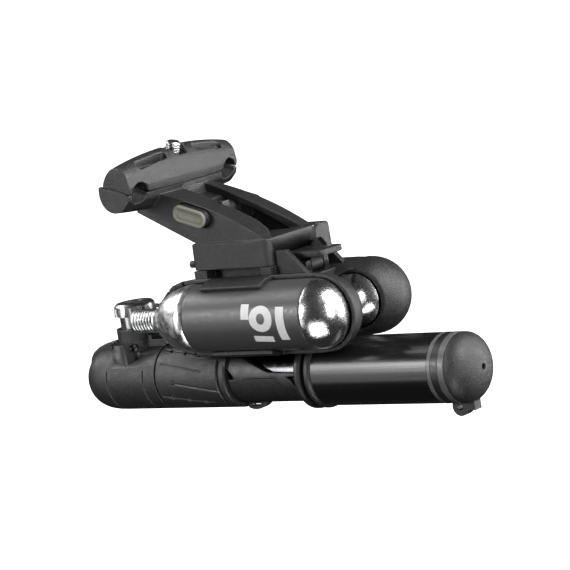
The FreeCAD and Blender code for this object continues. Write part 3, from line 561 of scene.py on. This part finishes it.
def button(side):
    """The dished pad and the plunger behind it."""
    node = "side_button_" + side
    low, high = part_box(node)
    outward = 1 if low.y + high.y > 0 else -1
    face = high.y if outward > 0 else low.y
    inner = low.y if outward > 0 else high.y
    centre_x = (low.x + high.x) / 2
    centre_z = (low.z + high.z) / 2
    length = BUTTON_HEIGHT + ((high.x - low.x) - BUTTON_HEIGHT) / math.cos(BUTTON_PITCH)
    straight = (length - BUTTON_HEIGHT) / 2
    rows = []
    for inset, drop in BUTTON_PAD:
        radius = BUTTON_HEIGHT / 2 - inset * MM
        row = []
        for j in range(BUTTON_SIDES):
            turn = 2 * math.pi * (j + 0.5) / BUTTON_SIDES
            along = radius * math.cos(turn) + (straight if math.cos(turn) > 0 else -straight)
            up = radius * math.sin(turn)
            x = centre_x + along * math.cos(BUTTON_PITCH) + up * math.sin(BUTTON_PITCH)
            z = centre_z - along * math.sin(BUTTON_PITCH) + up * math.cos(BUTTON_PITCH)
            row.append((x, face + outward * drop * MM, z))
        rows.append(row)
    pad = new_object(node + "_pad", surface_grid(node, rows))
    stand_in(pad, node)
    pad.data.materials.append(MATS["arm_plastic"])
    for polygon in pad.data.polygons:
        if outward * (face - polygon.center.y) > PAD_SHOWN:
            polygon.material_index = 1
    stem_rows = []
    for y in (inner, face - outward * PLUNGER_START):
        row = []
        for j in range(PLUNGER_SIDES):
            turn = 2 * math.pi * j / PLUNGER_SIDES
            row.append((centre_x + PLUNGER_R * math.cos(turn), y,
                        centre_z + PLUNGER_R * math.sin(turn) - PLUNGER_DROP))
        stem_rows.append(row)
    stem = new_object(node + "_stem", surface_grid(node + "_stem", stem_rows))
    stem.data.materials.append(MATS["arm_plastic"])
    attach(stem, BODY_OF[node])


# ---- grip -----------------------------------------------------------------------------------
GRIP_LINES = 12
GRIP_FIRST = math.radians(147.3)   # angle of the first line at its start
GRIP_SLOPE = 0.175                 # how far the lines climb round the grip per unit of length
GRIP_EDGE = 0.45 * MM
GRIP_WALL = 2.5 * MM
GRIP_ALONG = 260                   # rows of points along the grip
GRIP_AROUND = 640                  # points in each row
LINE_WIDTH = 0.24 * MM
LINE_DEPTH = 0.30 * MM
PIT_R = 0.70 * MM
PIT_DEPTH = 2.6                    # as a multiple of LINE_DEPTH
# start and end from the left edge of the grip, then the pits along the line, millimetres
LINE_KINDS = [((2.3, 20.0), ()), ((7.4, 26.0), (7.4,)), ((1.4, 21.7), (5.0, 11.6, 18.1))]


def grip():
    """The grip sleeve with slanted engraved lines and small round pits along them."""
    node = "grip_sleeve"
    low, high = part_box(node)
    axis_y = (low.y + high.y) / 2
    axis_z = (low.z + high.z) / 2
    radius = (high.z - low.z) / 2
    xs = np.linspace(low.x, high.x, GRIP_ALONG)
    turns = np.linspace(0, 2 * math.pi, GRIP_AROUND, endpoint=False)
    x, turn = np.meshgrid(xs, turns, indexing="ij")
    depth = np.zeros_like(x)
    around_all = 2 * math.pi * radius
    for k in range(GRIP_LINES):
        (start, end), pits = LINE_KINDS[k % len(LINE_KINDS)]
        first = GRIP_FIRST * radius + k * around_all / GRIP_LINES
        offset = turn * radius - first - GRIP_SLOPE * (x - low.x - LINE_KINDS[0][0][0] * MM)
        offset = (offset + around_all / 2) % around_all - around_all / 2
        along = x - low.x
        inside = np.clip((along - start * MM) / LINE_WIDTH, 0, 1)
        inside = inside * np.clip((end * MM - along) / LINE_WIDTH, 0, 1)
        depth = np.maximum(depth, inside * np.exp(-(offset / LINE_WIDTH) ** 2))
        for place in pits:
            away = ((along - place * MM) ** 2 + offset ** 2) / PIT_R ** 2
            depth = np.maximum(depth, PIT_DEPTH * np.exp(-away ** 2))
    edge = np.minimum(x - low.x, high.x - x)
    round_off = GRIP_EDGE * np.clip(1 - edge / GRIP_EDGE, 0, 1) ** 2
    r = radius - LINE_DEPTH * depth - round_off
    rows = []
    for i in range(GRIP_ALONG):
        y = axis_y + r[i] * np.cos(turns)
        z = axis_z + r[i] * np.sin(turns)
        rows.append([(xs[i], float(a), float(b)) for a, b in zip(y, z)])
    inner = radius - GRIP_WALL
    rows.insert(0, [(xs[0], axis_y + inner * math.cos(t), axis_z + inner * math.sin(t)) for t in turns])
    rows.append([(xs[-1], axis_y + inner * math.cos(t), axis_z + inner * math.sin(t)) for t in turns])
    stand_in(new_object("grip_sleeve_lined", surface_grid(node, rows)), node)


# ---- the rest of the pieces -----------------------------------------------------------------
# nodes on which the rounding has to stop where two edges would meet
CLAMPED = ("dome_cap", "chuck_knob", "rubber_strap")
CRADLE_EDGE = 0.35
# how far each node's edges are rounded, millimetres
EDGE_WIDTHS = {
    "arm_bracket": 0.0,
    "clamp_top_bar": 0.45,
    "clamp_nut": 0.2,
    "clamp_bolt": 0.08,
    "carrier_frame": 0.0,
    "release_lever": 0.3,
    "pump_clip": 0.0,
    "rubber_strap": 0.25,
    "pump_head": 0.0,
    "lock_lever": 0.3,
    "chuck_stem": 0.25,
    "chuck_knob": 0.25,
    "head_screw": 0.1,
    "grip_ring": 0.25,
    "flange_ring": 0.3,
    "handle_tube": 0.1,
    "trim_ring_inner": 0.12,
    "band_ring": 0.1,
    "trim_ring_outer": 0.12,
    "dome_cap": 0.15,
}


def build_pieces():
    """Every visible piece; nodes that aren't named here are shown as CAD made them."""
    paint_cad()
    for side in ("left", "right"):
        cartridge(side)
        label(side)
        band_mark(side)
        button(side)
        soften("cradle_" + side, CRADLE_EDGE)
    grip()
    for node, width in EDGE_WIDTHS.items():
        soften(node, width, clamp=node in CLAMPED)


build_pieces()


# ---- stage, lights and camera ---------------------------------------------------------------
CAMERA_POSITION = Vector((574.81, -643.68, 77.79)) * MM
CAMERA_RIGHT = Vector((0.77255, 0.61318, -0.16486))
CAMERA_FORWARD = Vector((-0.63355, 0.76165, -0.13604))
CAMERA_LENS = 170.51
SENSOR_WIDTH = 36.0
FLOOR_HALF = 20.0                  # half the floor's width, metres
FLOOR_DROP = 0.35                  # how far the floor lies below the object, metres
FLOOR_GLOW = 1.6
AROUND_GREY = 0.030                # dim light that reaches the object from every side


def add_camera():
    """The viewing direction, its roll and its distance, aimed beside the middle of the object."""
    right = CAMERA_RIGHT.normalized()
    forward = CAMERA_FORWARD.normalized()
    up = right.cross(forward)
    data = bpy.data.cameras.new("camera")
    data.lens = CAMERA_LENS
    data.sensor_width = SENSOR_WIDTH
    data.clip_start = 0.01
    data.clip_end = 100.0
    camera = new_object("camera", data)
    turn = Matrix((right, up, -forward)).transposed().to_4x4()
    camera.matrix_world = Matrix.Translation(CAMERA_POSITION) @ turn
    bpy.context.scene.camera = camera


def area_light(name, position, target, width, height, power):
    """A rectangular softbox that faces its target."""
    data = bpy.data.lights.new(name, "AREA")
    data.energy = power
    data.shape = "RECTANGLE"
    data.size = width
    data.size_y = height
    lamp = new_object(name, data)
    lamp.location = position
    lamp.rotation_euler = (Vector(target) - Vector(position)).to_track_quat("-Z", "Y").to_euler()
    return lamp


def add_stage():
    """A pale floor that glows evenly, well below the object, and that its shiny parts don't mirror."""
    mesh = bpy.data.meshes.new("floor")
    z = cad_bounds[0][2] - FLOOR_DROP
    corners = [(-FLOOR_HALF, -FLOOR_HALF, z), (FLOOR_HALF, -FLOOR_HALF, z),
               (FLOOR_HALF, FLOOR_HALF, z), (-FLOOR_HALF, FLOOR_HALF, z)]
    mesh.from_pydata(corners, [], [(0, 1, 2, 3)])
    floor = new_object("floor", mesh)
    mat, _, shader, _ = new_material("floor")
    shader.inputs["Base Color"].default_value = (0.9, 0.9, 0.9, 1)
    shader.inputs["Roughness"].default_value = 0.9
    shader.inputs["Emission Color"].default_value = (1, 1, 1, 1)
    shader.inputs["Emission Strength"].default_value = FLOOR_GLOW
    mesh.materials.append(mat)
    floor.visible_glossy = False
    floor.visible_diffuse = False


def add_world():
    """White behind the object, and dim grey light from all round it."""
    world = bpy.data.worlds.new("world")
    bpy.context.scene.world = world
    world.use_nodes = True
    tree = world.node_tree
    tree.nodes.clear()
    out = tree.nodes.new("ShaderNodeOutputWorld")
    seen = tree.nodes.new("ShaderNodeBackground")
    seen.inputs["Color"].default_value = (1, 1, 1, 1)
    around = tree.nodes.new("ShaderNodeBackground")
    around.inputs["Color"].default_value = (AROUND_GREY, AROUND_GREY, AROUND_GREY, 1)
    path = tree.nodes.new("ShaderNodeLightPath")
    mix = tree.nodes.new("ShaderNodeMixShader")
    tree.links.new(path.outputs["Is Camera Ray"], mix.inputs[0])
    tree.links.new(around.outputs[0], mix.inputs[1])
    tree.links.new(seen.outputs[0], mix.inputs[2])
    tree.links.new(mix.outputs[0], out.inputs[0])


# name, place from the middle of the object in metres, width, height, power
SOFTBOXES = [
    ("key_right", (0.92, 0.26, 0.19), 0.28, 0.9, 4.6),
    ("right_front", (0.95, -0.32, 0.16), 0.24, 0.6, 3.4),
    ("strip_left_top", (-0.55, -0.80, 0.34), 0.28, 0.24, 3.9),
    ("strip_left_middle", (-0.55, -0.80, 0.11), 0.28, 0.22, 1.25),
    ("strip_left_low", (-0.55, -0.80, -0.20), 0.28, 0.4, 0.8),
    ("right_top", (0.70, 0.05, 0.70), 0.5, 0.5, 12.5),
    ("left_top", (-0.78, -0.15, 0.60), 0.5, 0.5, 5.0),
    ("camera_side", (0.60, -0.78, 0.30), 0.5, 0.5, 3.0),
    ("back_right", (0.60, 0.80, 0.05), 0.4, 0.8, 9.0),
    ("below", (0.20, -0.60, -0.60), 0.6, 0.6, 8.0),
]


def add_lights():
    """The softboxes. camera_side only lifts the shadows, so shiny parts don't mirror it."""
    middle = (Vector(cad_bounds[0]) + Vector(cad_bounds[1])) / 2
    for name, place, width, height, power in SOFTBOXES:
        lamp = area_light(name, middle + Vector(place), middle, width, height, power)
        lamp.visible_glossy = name != "camera_side"


add_stage()
add_world()
add_camera()
add_lights()
bpy.context.scene.view_settings.view_transform = "Standard"
